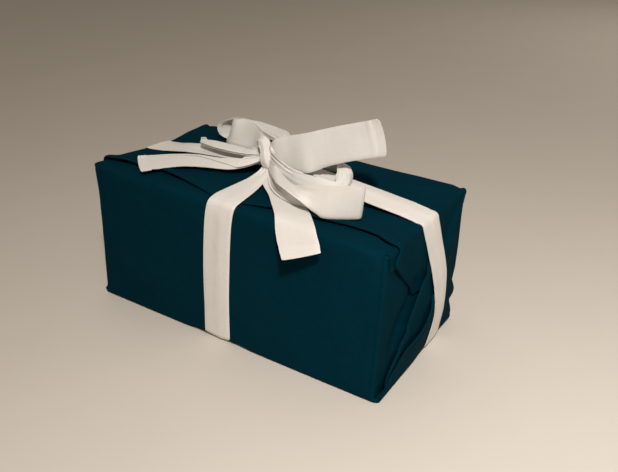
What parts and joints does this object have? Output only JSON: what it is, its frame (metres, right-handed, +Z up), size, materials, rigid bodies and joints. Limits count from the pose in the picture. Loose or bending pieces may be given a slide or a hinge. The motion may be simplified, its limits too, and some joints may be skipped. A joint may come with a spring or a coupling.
{
  "type": "furoshiki wrap on gift box",
  "caption": "Oblong gift box wrapped in dark teal cotton cloth with folded ends, tied both ways with a white cloth ribbon that ends in a bow with loops and loose tails on top.",
  "frame": {"origin": "middle of the wrapped box's underside, on the surface it stands on", "axes": "+X along the box's long side to the end with the raised tail, +Y from the front face to the back face, +Z up"},
  "size_m": [0.3168, 0.1756, 0.2093],
  "materials": {
    "carton": "matt brown board",
    "teal_cotton": "matt plain weave",
    "white_cotton": "matt plain weave"
  },
  "bodies": {
    "root": {"gift_box": "carton", "wrap_cloth": "teal_cotton", "ribbon": "white_cotton"}
  },
  "joints": []
}
